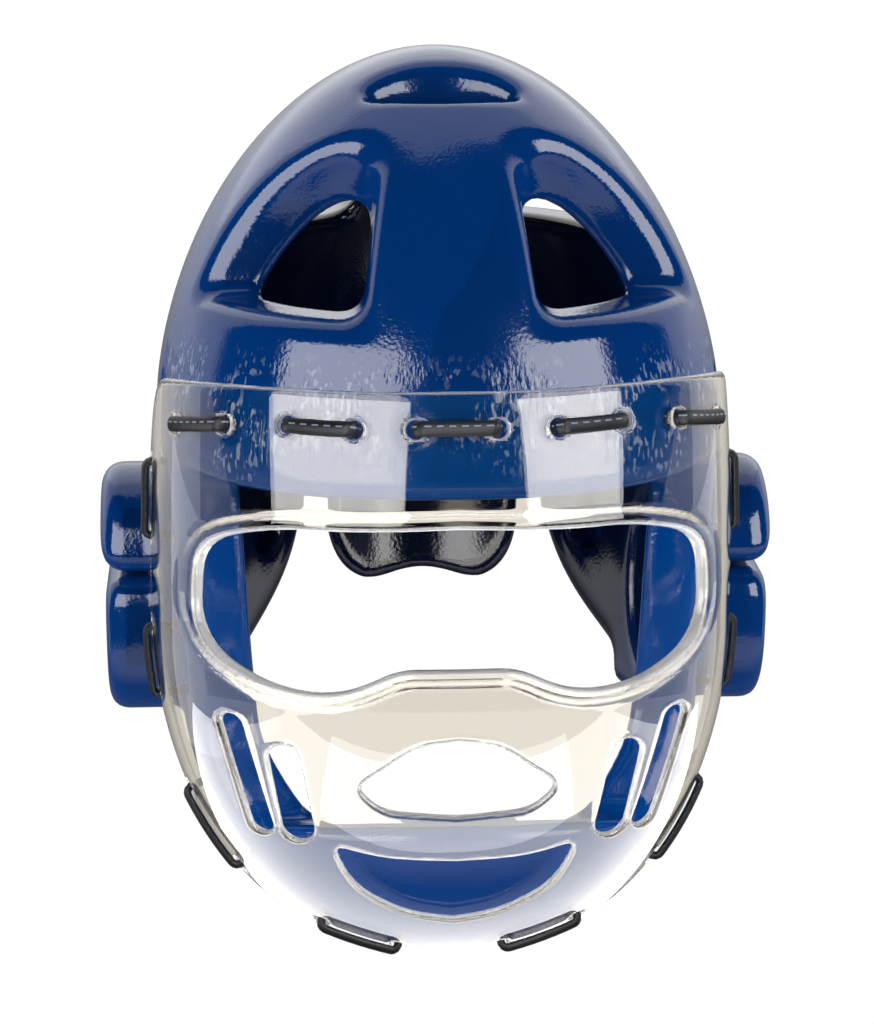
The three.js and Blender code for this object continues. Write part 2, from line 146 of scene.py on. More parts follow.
def new_material(name):
    """A material with an empty node tree and its output node."""
    material = bpy.data.materials.new(name)
    material.use_nodes = True
    material.node_tree.nodes.clear()
    return material, material.node_tree, add_node(material.node_tree, "ShaderNodeOutputMaterial")


# %% [markdown]
# ## Floor and light
#
# The photograph has a white ground, and the glossy skin and the clear mask show what stood around the guard.
# Each highlight tells where a lamp was: follow the line of sight to the surface and mirror it there. That
# gives two tall soft lamps left and right of the camera, darkness between them and over them, and a soft lamp
# behind that draws the pale band along the crown. The bright ground veils only the clear mask, so its lamps
# are linked to the mask alone. The same set is built here.
# All angles are in the wearer's frame, because the guard and its surroundings are tipped back together.

# %% Floor
FLOOR_SIZE = 12.0
FLOOR_GLOW = 1.02
floor_material, tree, out = new_material("pale_studio_floor")
paint = add_node(tree, "ShaderNodeBsdfPrincipled", inputs={
    "Base Color": hex_colour("#000000"), "Roughness": 1.0, "Specular IOR Level": 0.0,
    "Emission Color": hex_colour("#ffffff"), "Emission Strength": FLOOR_GLOW})
tree.links.new(paint.outputs[0], out.inputs["Surface"])
floor_mesh = bpy.data.meshes.new("floor")
half = FLOOR_SIZE / 2
floor_corners = [(-half, -half, 0), (half, -half, 0), (half, half, 0), (-half, half, 0)]
floor_mesh.from_pydata(floor_corners, [], [(0, 1, 2, 3)])
floor_mesh.materials.append(floor_material)
floor = bpy.data.objects.new("floor", floor_mesh)
bpy.context.scene.collection.objects.link(floor)
floor.visible_glossy = False
floor.visible_shadow = False

# %% White surroundings, dark straight below
# The white comes up between these two heights of a way's Z, which is -1 straight down and 0 when level
DARK_BELOW, WHITE_ABOVE = -0.65, -0.3
world = bpy.data.worlds.new("white_studio")
bpy.context.scene.world = world
world.use_nodes = True
tree = world.node_tree
place = add_node(tree, "ShaderNodeTexCoord")
split = add_node(tree, "ShaderNodeSeparateXYZ", inputs={"Vector": place.outputs["Generated"]})
strength = add_node(tree, "ShaderNodeMapRange", inputs={
    "Value": split.outputs["Z"], "From Min": DARK_BELOW, "From Max": WHITE_ABOVE,
    "To Min": 0.1, "To Max": 1.0})
tree.links.new(strength.outputs[0], tree.nodes["Background"].inputs["Strength"])
tree.nodes["Background"].inputs["Color"].default_value = hex_colour("#ffffff")

# %% The dark screen in front
SCREEN_RADIUS = 2.6
SCREEN_REACH = math.radians(108)
SCREEN_LOW, SCREEN_HIGH = math.radians(-23), math.radians(86)
STAND_HEIGHT = np.array([0, 0, 0.12])
screen_material, tree, out = new_material("dark_screen")
cloth = add_node(tree, "ShaderNodeBsdfDiffuse", inputs={"Color": hex_colour("#101114")})
tree.links.new(cloth.outputs[0], out.inputs["Surface"])
sides = np.linspace(-SCREEN_REACH, SCREEN_REACH, 32)
rises = np.linspace(SCREEN_LOW, SCREEN_HIGH, 18)
screen_points = np.array([SCREEN_RADIUS * direction(side, rise) + STAND_HEIGHT
                          for rise in rises for side in sides])
rows, columns = len(rises), len(sides)
first = (np.arange(rows - 1)[:, None] * columns + np.arange(columns - 1)).ravel()
screen_faces = np.stack([first, first + 1, first + columns + 1, first + columns], axis=1)
screen_mesh = bpy.data.meshes.new("dark_screen")
screen_mesh.from_pydata(screen_points.tolist(), [], screen_faces.tolist())
screen_mesh.materials.append(screen_material)
screen = bpy.data.objects.new("dark_screen", screen_mesh)
bpy.context.scene.collection.objects.link(screen)
screen.visible_camera = False

# %% Soft lamps


def soft_lamp(name, side, rise, half_side, half_rise, brightness, distance=1.9):
    """A rectangular lamp around a direction, facing the guard; all four angles are in degrees.

    Its half sizes are the distance times the tangent of the half angles. Brightness is what a mirror would
    show of it: the power is that times pi times the lamp's area.
    """
    side, rise = math.radians(side), math.radians(rise)
    width, height = (2 * distance * math.tan(math.radians(angle)) for angle in (half_side, half_rise))
    data = bpy.data.lights.new(name, "AREA")
    data.shape = "RECTANGLE"
    data.size = width
    data.size_y = height
    data.energy = brightness * math.pi * width * height
    lamp = bpy.data.objects.new(name, data)
    bpy.context.scene.collection.objects.link(lamp)
    out_of = direction(side, rise)
    level = TURN @ np.array([math.cos(side), math.sin(side), 0])
    turned = np.eye(4)
    turned[:3, :3] = np.stack([level, np.cross(out_of, level), out_of], axis=1)
    turned[:3, 3] = distance * out_of + STAND_HEIGHT
    lamp.matrix_world = Matrix(turned.tolist())
    lamp.visible_camera = False
    return lamp


# Columns: name, side, rise, their half angles, and the brightness in reflections and for plain light
LAMPS = [
    ("left", -35, 10.5, 27, 22, 6.8, 6.0),
    ("right", 40, 10.5, 20, 22, 7.6, 6.0),
    ("back", 180, 35, 34, 26, 0.5, 0.0),
    ("veil_ground", 0, -90, 62, 52, 4.6, 0.0),
    ("veil_front", 0, -50, 32, 15, 3.5, 0.0),
    ("veil_left", -100, -22, 34, 12, 0.8, 0.0),
    ("veil_right", 100, -22, 34, 12, 0.8, 0.0),
]
veiled = bpy.data.collections.new("veiled_by_the_ground")
for name, side, rise, half_side, half_rise, shine_brightness, fill_brightness in LAMPS:
    shine = soft_lamp("shine_" + name, side, rise, half_side, half_rise, shine_brightness)
    shine.visible_diffuse = False
    if name.startswith("veil"):
        shine.light_linking.receiver_collection = veiled
    if fill_brightness > 0:
        fill = soft_lamp("fill_" + name, side, rise, half_side, half_rise, fill_brightness)
        fill.visible_glossy = False
        fill.visible_transmission = False

# %% [markdown]
# ## Forms as distance fields
#
# The foam is one moulded body with holes, soft rims and hollow sides. Such a thing is hard to make from
# patches, so it is written as a field: a function that is negative inside the foam and grows with the
# distance outside it. Fields are joined with a smooth minimum and cut with a smooth maximum, which rounds
# each rim as the dipped skin does, and a net of squares is then laid through the places where it is zero.


# %% Joining and cutting fields
def cut_soft(first, second, width):
    """Smooth maximum: the larger field, raised by a small hump where both are within the width."""
    near = np.clip(1 - np.abs(first - second) / width, 0, 1)
    return np.maximum(first, second) + near * near * width / 4


def join_soft(first, second, width):
    """Smooth minimum, the mirror image of the smooth maximum."""
    return -cut_soft(-first, -second, width)


def rounded_outline(corners, steps=7):
    """Corner rows of across, up and radius become points, each corner a quadratic curve."""
    corners = np.array(corners, float)
    points = []
    for place, (across, up_, radius) in enumerate(corners):
        here = np.array([across, up_])
        before = corners[place - 1, :2] - here
        after = corners[(place + 1) % len(corners), :2] - here
        reach = min(radius, 0.49 * np.linalg.norm(before), 0.49 * np.linalg.norm(after))
        if reach <= 0:
            points.append(here[None])
            continue
        start = here + before * reach / np.linalg.norm(before)
        end = here + after * reach / np.linalg.norm(after)
        share = np.linspace(0, 1, steps)[:, None]
        points.append(start * (1 - share) ** 2 + 2 * here * share * (1 - share) + end * share ** 2)
    return np.concatenate(points)


def outline_distance(points, across, up_):
    """Signed distance to a closed outline, negative inside: the nearest edge, and crossings for the sign."""
    nearest = np.full(across.shape, 1e9)
    inside = np.zeros(across.shape, bool)
    for start, end in zip(points, np.roll(points, -1, axis=0)):
        edge = end - start
        length = edge @ edge
        if length < 1e-9:
            continue
        share = np.clip(((across - start[0]) * edge[0] + (up_ - start[1]) * edge[1]) / length, 0, 1)
        gap = (across - start[0] - share * edge[0]) ** 2 + (up_ - start[1] - share * edge[1]) ** 2
        nearest = np.minimum(nearest, gap)
        if edge[1] != 0:
            crosses = (start[1] > up_) != (end[1] > up_)
            inside ^= crosses & (across < start[0] + (up_ - start[1]) * edge[0] / edge[1])
    return np.where(inside, -1, 1) * np.sqrt(nearest)


def oval(across, up_, half_across, half_up):
    """Distance to an ellipse around zero, from its scaled radius over the slope of that radius."""
    radius = np.sqrt((across / half_across) ** 2 + (up_ / half_up) ** 2) + 1e-9
    slope = np.sqrt((across / half_across ** 2) ** 2 + (up_ / half_up ** 2) ** 2) + 1e-9
    return radius * (radius - 1) / slope


# %% [markdown]
# ## From a field to a mesh
#
# The field is sampled on a regular grid. Each cell that the surface passes through gets one point, at the
# mean of its edge crossings, and each grid edge that changes sign gets a square between the four cells around
# it. A few Newton steps along the slope then bring every point onto the true surface. The slope is also the
# exact normal, so reflections stay smooth although the squares are one to two millimetres wide.


# %% A net of squares through a field
def net_of_squares(values, origin, step):
    """Surface net of a sampled field. Returns the points and the squares, facing outwards."""
    inside = values < 0
    shape = tuple(size - 1 for size in values.shape)
    corners = [(i, j, k) for i in (0, 1) for j in (0, 1) for k in (0, 1)]
    part = lambda grid, c: grid[c[0]:c[0] + shape[0], c[1]:c[1] + shape[1], c[2]:c[2] + shape[2]]
    count = sum(part(inside, c).astype(np.int8) for c in corners)
    cells = np.argwhere((count > 0) & (count < 8))
    number = np.full(shape, -1, np.int64)
    number[tuple(cells.T)] = np.arange(len(cells))
    total = np.zeros((len(cells), 3))
    crossings = np.zeros(len(cells))
    for start in corners:
        for axis in range(3):
            if start[axis]:
                continue
            end = tuple(value + (place == axis) for place, value in enumerate(start))
            low = values[tuple((cells + start).T)]
            high = values[tuple((cells + end).T)]
            hit = (low < 0) != (high < 0)
            share = np.where(hit, low / np.where(hit, low - high, 1), 0)
            point = np.array(start, float) + share[:, None] * np.eye(3)[axis]
            total += np.where(hit[:, None], point, 0)
            crossings += hit
    points = origin + (cells + total / crossings[:, None]) * step
    squares = []
    for axis in range(3):
        low = np.take(inside, range(values.shape[axis] - 1), axis)
        high = np.take(inside, range(1, values.shape[axis]), axis)
        edges = np.argwhere(low != high)
        one, two = (axis + 1) % 3, (axis + 2) % 3
        keep = (edges[:, one] > 0) & (edges[:, two] > 0)
        keep &= (edges[:, one] < shape[one]) & (edges[:, two] < shape[two])
        edges = edges[keep]
        around = []
        for shift_one, shift_two in ((1, 1), (0, 1), (0, 0), (1, 0)):
            cell = edges.copy()
            cell[:, one] -= shift_one
            cell[:, two] -= shift_two
            around.append(number[tuple(cell.T)])
        square = np.stack(around, axis=1)
        leaves = low[tuple(edges.T)]
        squares.append(np.where(leaves[:, None], square, square[:, ::-1]))
    return points, np.concatenate(squares)


def slope_of(field, points, reach=0.15):
    """Gradient of a field by central differences."""
    slope = np.empty_like(points)
    for axis in range(3):
        shift = np.eye(3)[axis] * reach
        slope[:, axis] = (field(*(points + shift).T) - field(*(points - shift).T)) / (2 * reach)
    return slope


def settle(field, points, squares, step, rounds=3):
    """Newton steps onto the surface, with one evening-out of the net between them."""
    for turn in range(rounds):
        slope = slope_of(field, points)
        size = (slope * slope).sum(1) + 1e-6
        move = -(field(*points.T) / size)[:, None] * slope
        length = np.linalg.norm(move, axis=1, keepdims=True)
        points = points + move * np.minimum(1, 0.7 * step / (length + 1e-9))
        if turn == 0:
            mean = np.zeros_like(points)
            links = np.zeros(len(points))
            for side in range(4):
                start, end = squares[:, side], squares[:, (side + 1) % 4]
                for axis in range(3):
                    mean[:, axis] += np.bincount(start, points[end, axis], len(points))
                    mean[:, axis] += np.bincount(end, points[start, axis], len(points))
                links += np.bincount(start, minlength=len(points)) + np.bincount(end, minlength=len(points))
            points = 0.4 * points + 0.6 * mean / links[:, None]
    slope = slope_of(field, points)
    return points, slope / np.linalg.norm(slope, axis=1, keepdims=True)


def mesh_from_arrays(name, points, faces, normals):
    """Put whole arrays of points and faces into a mesh, with the exact normals of its points."""
    mesh = bpy.data.meshes.new(name)
    mesh.vertices.add(len(points))
    mesh.vertices.foreach_set("co", points.astype(np.float32).ravel())
    mesh.loops.add(faces.size)
    mesh.loops.foreach_set("vertex_index", faces.astype(np.int32).ravel())
    mesh.polygons.add(len(faces))
    mesh.polygons.foreach_set("loop_start", np.arange(0, faces.size, faces.shape[1], dtype=np.int32))
    mesh.update(calc_edges=True)
    mesh.polygons.foreach_set("use_smooth", np.ones(len(faces), bool))
    mesh.normals_split_custom_set_from_vertices(normals.astype(np.float32).tolist())
    mesh.update()
    return mesh


def write_place(mesh, name, values):
    """Give a mesh an attribute, one number for each of its points."""
    mesh.attributes.new(name, "FLOAT", "POINT").data.foreach_set("value", values.astype(np.float32))


def field_piece(name, field, low, high, step, material, places=None):
    """Sample half of a mirrored field, mirror the samples, and make the finished piece on the table.

    Places maps attribute names to functions of the wearer's x, y and z that tell a material where it is.
    """
    half_x = np.arange(0.5, high[0] / step) * step
    y = np.arange(low[1], high[1], step)
    z = np.arange(low[2], high[2], step)
    grid = np.meshgrid(half_x, y, z, indexing="ij")
    values = field(*[line.ravel() for line in grid]).reshape(grid[0].shape)
    values = np.concatenate([values[::-1], values])
    origin = np.array([-half_x[-1], low[1], low[2]])
    points, squares = net_of_squares(values, origin, step)
    points, normals = settle(field, points, squares, step)
    mesh = mesh_from_arrays(name, to_table(points), squares, normals @ TURN.T)
    for attribute, rule in (places or {}).items():
        write_place(mesh, attribute, rule(*points.T))
    mesh.materials.append(material)
    piece = bpy.data.objects.new(name, mesh)
    bpy.context.scene.collection.objects.link(piece)
    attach(piece, "root")
    print(name, "has", len(squares), "squares")
    return piece


# %% [markdown]
# ## The vinyl skin
#
# The foam is dipped in liquid vinyl (PVC) and cured. The skin is a deep blue, glossy, with a fine orange peel
# that frays the edges of every highlight. Where the mask presses on it, it is wrinkled in fine upright lines
# and sticks to the plastic in small pale blots. Two attributes of the mesh say where: "pressed" is 1 under
# the mask, and "inside" is 1 deep in the rear of the hollow, where painted shade darkens the blue to near
# black. The patterns read Object coordinates, which hold metres, so a scale is a number of waves in a metre.

# %% Dipped vinyl
SKIN_BLUE = "#01306c"
SKIN_BLUE_DEEP = "#012a62"
# Painted shade: the near-black blue laid over the rear of the hollow
SKIN_PAINTED_SHADE = "#03081c"
SKIN_SCUFF = "#9fb0cd"

# Waves in a metre: the peel's are about 1 mm long, the blots' and the wrinkles' about 1.5 mm
TINT_WAVES, SWELL_WAVES, PATCH_WAVES = 22.0, 60.0, 55.0
PEEL_WAVES, BLOT_WAVES, WRINKLE_WAVES = 850.0, 620.0, 700.0

# Blots are drawn out to twice their width, wrinkles to eleven times
BLOT_STRETCH, WRINKLE_STRETCH = (1.0, 1.0, 0.45), (1.0, 1.0, 0.09)

# How high the three bumps are, in metres
SWELL_HEIGHT, PEEL_HEIGHT, WRINKLE_HEIGHT = 0.0006, 0.00012, 0.0004

skin, tree, out = new_material("dipped_blue_vinyl")
place = add_node(tree, "ShaderNodeTexCoord")
upright = add_node(tree, "ShaderNodeVectorRotate", {"rotation_type": "X_AXIS"}, {
    "Vector": place.outputs["Object"], "Angle": REST_TILT})
pressed = add_node(tree, "ShaderNodeAttribute", {"attribute_name": "pressed"})
inside = add_node(tree, "ShaderNodeAttribute", {"attribute_name": "inside"})


def noise(vector, scale, detail=2.0, stretch=None):
    """Noise at a number of waves in a metre; stretch gives each axis its own share of it."""
    if stretch:
        stretched = add_node(tree, "ShaderNodeVectorMath", {"operation": "MULTIPLY"}, {0: vector, 1: stretch})
        vector = stretched.outputs[0]
    return add_node(tree, "ShaderNodeTexNoise", inputs={
        "Vector": vector, "Scale": scale, "Detail": detail}).outputs["Fac"]


def ramp(value, low, high, to_low=0.0, to_high=1.0):
    """A value between two limits becomes a share between two others, with soft ends."""
    return add_node(tree, "ShaderNodeMapRange", {"interpolation_type": "SMOOTHSTEP"}, {
        "Value": value, "From Min": low, "From Max": high, "To Min": to_low, "To Max": to_high}).outputs[0]


def times(first, second):
    """The product of two values."""
    return add_node(tree, "ShaderNodeMath", {"operation": "MULTIPLY"}, {0: first, 1: second}).outputs[0]


def mix_colour(share, first, second):
    """Blend two colours by a share."""
    return add_node(tree, "ShaderNodeMix", {"data_type": "RGBA"}, {
        "Factor": share, "A": first, "B": second}).outputs["Result"]


cloud = noise(place.outputs["Object"], TINT_WAVES, 3.0)
blots = ramp(noise(upright.outputs[0], BLOT_WAVES, 1.0, BLOT_STRETCH), 0.56, 0.62)
patches = ramp(noise(place.outputs["Object"], PATCH_WAVES), 0.44, 0.54)
blotted = times(times(blots, patches), times(pressed.outputs["Fac"], 0.45))
wrinkles = noise(upright.outputs[0], WRINKLE_WAVES, 2.0, WRINKLE_STRETCH)
tint = mix_colour(cloud, hex_colour(SKIN_BLUE), hex_colour(SKIN_BLUE_DEEP))
tint = mix_colour(blotted, tint, hex_colour(SKIN_SCUFF))
# Painted shade: the "inside" attribute turns the rear of the hollow near-black
tint = mix_colour(inside.outputs["Fac"], tint, hex_colour(SKIN_PAINTED_SHADE))
swell_bump = add_node(tree, "ShaderNodeBump", inputs={
    "Height": noise(place.outputs["Object"], SWELL_WAVES), "Strength": 0.3, "Distance": SWELL_HEIGHT})
peel_bump = add_node(tree, "ShaderNodeBump", inputs={
    "Height": noise(place.outputs["Object"], PEEL_WAVES), "Strength": 0.55, "Distance": PEEL_HEIGHT,
    "Normal": swell_bump.outputs[0]})
wrinkle_bump = add_node(tree, "ShaderNodeBump", inputs={
    "Height": wrinkles, "Strength": times(times(pressed.outputs["Fac"], patches), 0.8),
    "Distance": WRINKLE_HEIGHT, "Normal": peel_bump.outputs[0]})
shader = add_node(tree, "ShaderNodeBsdfPrincipled", inputs={
    "Base Color": tint, "Roughness": ramp(cloud, 0.3, 0.7, 0.07, 0.12), "IOR": 1.5,
    "Normal": wrinkle_bump.outputs[0]})
tree.links.new(shader.outputs[0], out.inputs["Surface"])

# %% [markdown]
# ## The foam shell
#
# The shell is a stack of superellipses: ovals whose exponent makes them squarer in front and rounder behind.
# Above the brow they follow a dome, below it a table of shares narrows them towards the chin and the nape.

# %% Sizes of the shell
HALF_WIDTH, FRONT, REAR, CROWN = 101, 116, 122, 138
CHIN_DROP = 177
SIDE_WALL, FRONT_WALL, CROWN_WALL = 19, 23, 23
FRONT_SQUARE, REAR_SQUARE, CROWN_ROUND = 2.5, 2.1, 1.92

# Columns: share of the chin's drop, then shares of the half width, the front and the rear
SECTIONS = np.array([
    [-0.80, 1.000, 1.000, 1.000],
    [-0.13, 1.000, 1.000, 1.000],
    [0.00, 0.985, 1.000, 1.000],
    [0.17, 0.970, 0.985, 0.995],
    [0.35, 0.956, 0.968, 0.970],
    [0.56, 0.930, 0.945, 0.880],
    [0.65, 0.895, 0.930, 0.830],
    [0.73, 0.840, 0.905, 0.770],
    [0.81, 0.762, 0.855, 0.710],
    [0.91, 0.625, 0.735, 0.620],
    [1.00, 0.480, 0.570, 0.540],
    [1.20, 0.300, 0.350, 0.400],
])

# The table's lines are smoothed with a bell curve, one number for each millimetre of drop
BELL_WIDTH, BELL_REACH = 6.0, 18
drops = np.arange(-160, 230.0)
bell = np.exp(-0.5 * (np.arange(-BELL_REACH, BELL_REACH + 1) / BELL_WIDTH) ** 2)
bell /= bell.sum()
share_lines = []
for column in (1, 2, 3):
    line = np.interp(drops, SECTIONS[:, 0] * CHIN_DROP, SECTIONS[:, column])
    share_lines.append(np.convolve(np.pad(line, BELL_REACH, "edge"), bell, "valid"))


def head_form(x, y, z, side=0, front=0, crown=0):
    """Distance to the shell's outer form, or to its inner form when the walls to take off are given.

    The scaled radius of a superellipse, joined with the share of the dome's height, less one, over its slope.
    """
    width, forward, rearward = (np.interp(-z, drops, line) for line in share_lines)
    half_width = HALF_WIDTH * width - side * np.sqrt(width)
    forward_reach = FRONT * forward - front * np.sqrt(forward)
    rearward_reach = REAR * rearward - front * np.sqrt(rearward)
    depth = np.where(y < 0, forward_reach, rearward_reach)
    square = np.where(y < 0, FRONT_SQUARE, REAR_SQUARE)
    scaled_x = (np.abs(x) + 0.01) / half_width
    scaled_y = (np.abs(y) + 0.01) / depth
    level = (scaled_x ** square + scaled_y ** square) ** (1 / square)
    slope_x = (scaled_x / level) ** (square - 1) / half_width
    slope_y = (scaled_y / level) ** (square - 1) / depth
    rise = np.maximum(z, 0) / (CROWN - crown)
    whole = (level ** CROWN_ROUND + rise ** CROWN_ROUND) ** (1 / CROWN_ROUND)
    slope_level = np.hypot(slope_x, slope_y) * (level / whole) ** (CROWN_ROUND - 1)
    slope_rise = (rise / whole) ** (CROWN_ROUND - 1) / (CROWN - crown)
    return (whole - 1) / np.hypot(slope_level, slope_rise)


# %% [markdown]
# Each opening is a simple region in the front or the side view: a few straight limits, joined with soft
# corners. Cutting with a soft maximum leaves the thick rounded rims that dipped foam has.


# %% Openings in the foam
FRONT_SILL, REAR_SILL = 60, 66
BAND_TOP, BAND_HALF, BAND_SPREAD, REAR_BAND_HALF = 118, 21, 8, 25
CROWN_BAND_FRONT, CROWN_BAND_REAR = -46, 19
CHIN_LEVEL, JAW_LEVEL, JAW_EDGE = -163, -107.5, -61.8
FLAP_HALF, FLAP_END, FLAP_NOTCH = 37.5, -86.5, 22
FACE_OPENING = rounded_outline([
    (-300, 3, 0), (-60, 3, 10), (-60, -93, 16), (-68, -106.5, 12), (-73, -117, 8), (-80, -120, 8),
    (-88, -116.5, 8), (-108, -111, 10), (-300, -111, 0)])


def face_opening(y, z):
    """Side view: below the brow, in front of the cheeks, whose edge slants forward to the chin's rim."""
    return outline_distance(FACE_OPENING, y, z)


def below_the_rim(y, z):
    """Side view: under the table's level, and in the arch under the jaw between chin and ear."""
    jaw = (JAW_EDGE + 0.5 * (z - CHIN_LEVEL) - y) / 1.12
    arch = cut_soft(z - JAW_LEVEL, jaw, 26)
    return join_soft(height_over_table(y, z), arch, 6)


def front_vent(x, y, z):
    """Outside the forehead band, above the sill and before the crown band, which leans forward on top."""
    band = BAND_HALF + BAND_SPREAD * (BAND_TOP - z) / (BAND_TOP - FRONT_SILL) - x
    before = y - CROWN_BAND_FRONT
    crown_band = cut_soft(before, 0.87 * before + 0.5 * (z - 97), 10)
    return cut_soft(cut_soft(band, crown_band, 20), FRONT_SILL - z, 9)


def rear_vent(x, y, z):
    """Outside the rear band, above the rear sill and behind the crown band, which leans back on top."""
    crown_band = cut_soft(CROWN_BAND_REAR - y, (CROWN_BAND_REAR + 0.55 * (z - 87) - y) / 1.14, 10)
    return cut_soft(cut_soft(REAR_BAND_HALF - x, crown_band, 20), REAR_SILL - z, 14)


def crown_vent(x, y, z):
    """A lying oval through the crown, just behind the forehead band's upper end."""
    return np.maximum(oval(x, y + 34, 25, 9), FRONT_SILL - z)


def side_vent(x, y, z):
    """A lying oval through each temple."""
    return np.maximum(oval(y - 22, z - 23, 18, 10), 50 - x)


def flap_gap(x, y, z):
    """Rear view: what is neither the two-lobed flap nor the side wall, up to the gap's round top."""
    flap = cut_soft(x - FLAP_HALF, FLAP_END - z, 34)
    flap = cut_soft(flap, FLAP_NOTCH - np.hypot(x, z + 101), 9)
    wall = cut_soft(47 - x, (-73 - 1.12 * (x - 50) - z) / 1.5, 18)
    gap = cut_soft(cut_soft(-flap, -wall, 1), z - 6, 9)
    return cut_soft(gap, 38 - y, 12)


# %% Ear pads and hollows
PAD_MIDDLE_Y, PAD_MIDDLE_Z, PAD_HALF_LENGTH, PAD_HALF_HEIGHT = 12, -59.5, 32, 45.5
UPPER_LOBE_FOOT, LOWER_LOBE_TOP = -47, -50
UPPER_REACH, LOWER_REACH, PAD_ROOT = 121, 119.5, 70


def ear_pad(x, y, z):
    """Two rounded lobes, one over the other, that stand out of the shell around the ear."""
    outline = cut_soft(np.abs(y - PAD_MIDDLE_Y) - PAD_HALF_LENGTH,
                       np.abs(z - PAD_MIDDLE_Z) - PAD_HALF_HEIGHT, 34)
    upper = cut_soft(cut_soft(outline, UPPER_LOBE_FOOT - z, 9), x - UPPER_REACH, 9)
    lower = cut_soft(cut_soft(outline, z - LOWER_LOBE_TOP, 9), x - LOWER_REACH, 8)
    return np.maximum(join_soft(upper, lower, 5), PAD_ROOT - x)


def ear_hollow(x, y, z):
    """Inside: a bowl for the ear, and a small oval dent behind it."""
    bowl = (np.sqrt(((x - 82) / 17) ** 2 + ((y - 10) / 23) ** 2 + ((z + 60) / 33) ** 2) - 1) * 18
    dent = (np.sqrt(((x - 68) / 12) ** 2 + ((y - 66) / 9) ** 2 + ((z + 52) / 11) ** 2) - 1) * 9
    return np.minimum(bowl, dent)


# %% [markdown]
# ## The mask's form
#
# The mask is moulded from clear plastic 3 mm thick. Its form is a second stack of superellipses, and all of
# its edges and openings are outlines in the side view or the front view.

# %% Sizes of the mask
MASK_HALF_WIDTH, MASK_FRONT, MASK_FORWARD, MASK_MIDDLE = 103.2, 115, 15, 58
MASK_UPPER_REACH, MASK_BROW_REACH, MASK_LOWER_REACH = 260, 165, 134
MASK_SQUARE, MASK_CHIN_ROUND, MASK_SHEET = 2.4, 2.0, 3


def mask_shares(rise, depth=0):
    """How much of its full width and depth the mask keeps at a height over its middle."""
    share = lambda reach, power: np.maximum(
        1 - np.minimum(np.abs(rise) / (reach - depth), 0.97) ** power, 1e-3) ** (1 / power)
    chin = share(MASK_LOWER_REACH, MASK_CHIN_ROUND)
    above = rise > 0
    return (np.where(above, share(MASK_UPPER_REACH, MASK_SQUARE), chin),
            np.where(above, share(MASK_BROW_REACH, MASK_SQUARE), chin))


def mask_form(x, y, z, depth=0, way=False):
    """Distance to the mask's outer form, or to one that lies deeper; on request also the way out there."""
    width, forward = mask_shares(z + MASK_MIDDLE, depth)
    later_width, later_forward = mask_shares(z + MASK_MIDDLE + 0.5, depth)
    half_width = width * (MASK_HALF_WIDTH - depth)
    front = forward * (MASK_FRONT - depth)
    scaled_x = (np.abs(x) + 0.01) / half_width
    scaled_y = (np.abs(y + MASK_FORWARD) + 0.01) / front
    level = (scaled_x ** MASK_SQUARE + scaled_y ** MASK_SQUARE) ** (1 / MASK_SQUARE)
    part_x = (scaled_x / level) ** (MASK_SQUARE - 1)
    part_y = (scaled_y / level) ** (MASK_SQUARE - 1)
    slope_z = 2 * (part_x * scaled_x * (later_width / width - 1)
                   + part_y * scaled_y * (later_forward / forward - 1))
    slope = np.sqrt((part_x / half_width) ** 2 + (part_y / front) ** 2 + slope_z ** 2)
    if way:
        return (level - 1) / slope, part_x / half_width / slope, -slope_z / slope
    return (level - 1) / slope


# The mask's edge in the side view: level over the brow, down beside the cheeks, forward under the chin
MASK_EDGE = rounded_outline([
    (-300, 40.5, 0), (-100, 40.5, 20), (-60, 34, 20), (-40, 30, 14), (-27, 10, 18), (-27, -80, 20),
    (-35, -98, 10), (-45, -123, 14), (-60, -143, 10), (-73, -158, 10), (-80, -168.5, 4), (-300, -169.5, 0)])

# %% [markdown]
# The foam lies under the mask and is pressed in where the two meet, so the foam's field keeps clear of the
# room behind the mask's inner face. Small dimples mark where each lace pulls into the foam.

# %% Laces: where they run
CENTRE_LACE = [(-7.4, 29), (7.4, 29)]
SIDE_LACES = [[(18.5, 28.5), (31, 28.5)], [(44.5, 25.5), (60, 20)], [(79, -1), (79, -28)],
              [(79, -61), (78, -86)], [(67, -115), (54, -139)], [(34, -155.5), (15, -165)]]


def mask_point(angle, z):
    """The point of the mask's outer form at an angle from its front, in degrees, and at a height."""
    forward, across = np.cos(np.radians(angle)), np.sin(np.radians(angle))
    width, front = mask_shares(z + MASK_MIDDLE)
    radius = (np.abs(across / (width * MASK_HALF_WIDTH)) ** MASK_SQUARE
              + np.abs(forward / (front * MASK_FRONT)) ** MASK_SQUARE) ** (-1 / MASK_SQUARE)
    return np.stack([radius * across, -MASK_FORWARD - radius * forward, z + 0 * radius], axis=-1)


def mask_normal(angle, z):
    """The way out of the mask, across two short steps along its surface."""
    around = mask_point(angle + 0.5, z) - mask_point(angle - 0.5, z)
    upward = mask_point(angle, z + 0.5) - mask_point(angle, z - 0.5)
    normal = np.cross(around, upward)
    return normal / np.linalg.norm(normal, axis=-1, keepdims=True)


hole_angles, hole_heights = np.array([CENTRE_LACE[1]] + [end for lace in SIDE_LACES for end in lace], float).T
HOLES = mask_point(hole_angles, hole_heights)
HOLE_WAYS = mask_normal(hole_angles, hole_heights)


def hole_distance(x, y, z):
    """Distance to the nearest lace hole's axis."""
    nearest = np.full(x.shape, 1e3)
    for spot, way in zip(HOLES, HOLE_WAYS):
        from_spot = [x - spot[0], y - spot[1], z - spot[2]]
        along = from_spot[0] * way[0] + from_spot[1] * way[1] + from_spot[2] * way[2]
        gap = from_spot[0] ** 2 + from_spot[1] ** 2 + from_spot[2] ** 2 - along ** 2
        nearest = np.minimum(nearest, np.where(np.abs(along) < 20, gap, 1e6))
    return np.sqrt(np.maximum(nearest, 0))


